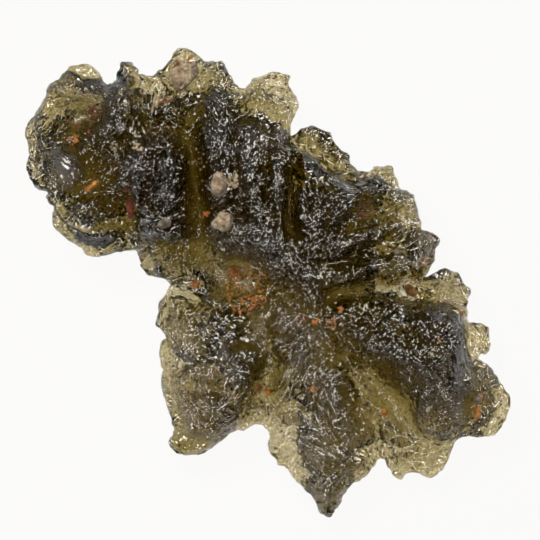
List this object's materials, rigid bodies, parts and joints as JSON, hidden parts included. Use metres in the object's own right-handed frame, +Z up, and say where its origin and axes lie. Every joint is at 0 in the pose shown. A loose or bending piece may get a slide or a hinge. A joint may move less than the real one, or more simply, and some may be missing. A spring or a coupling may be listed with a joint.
{
  "type": "moldavite",
  "caption": "Natural piece of green tektite glass, flat and deeply etched into teeth, flanges, ridges and grooves, with lodged sand grains; lies on its underside.",
  "frame": {"origin": "on the ground, under the middle of the stone's bounding box", "axes": "+Z up as the stone lies on its underside, +X to the right and +Y to the top of the view from above"},
  "size_m": [0.0406, 0.0392, 0.0114],
  "materials": {
    "glass": "natural etched surface, glossy in the grooves and satin on the pitted crests",
    "sand": "matt, worn",
    "clay": "matt, earthy"
  },
  "bodies": {
    "root": {"moldavite": "glass", "sand_grain_north": "sand", "sand_grain_crest": "sand", "sand_grain_slope": "sand", "sand_grain_boss": "sand", "sand_grain_east": "sand", "clay_lens_head": "clay", "clay_grain_head": "clay", "clay_grain_saddle": "clay", "clay_grain_east": "clay"}
  },
  "joints": []
}
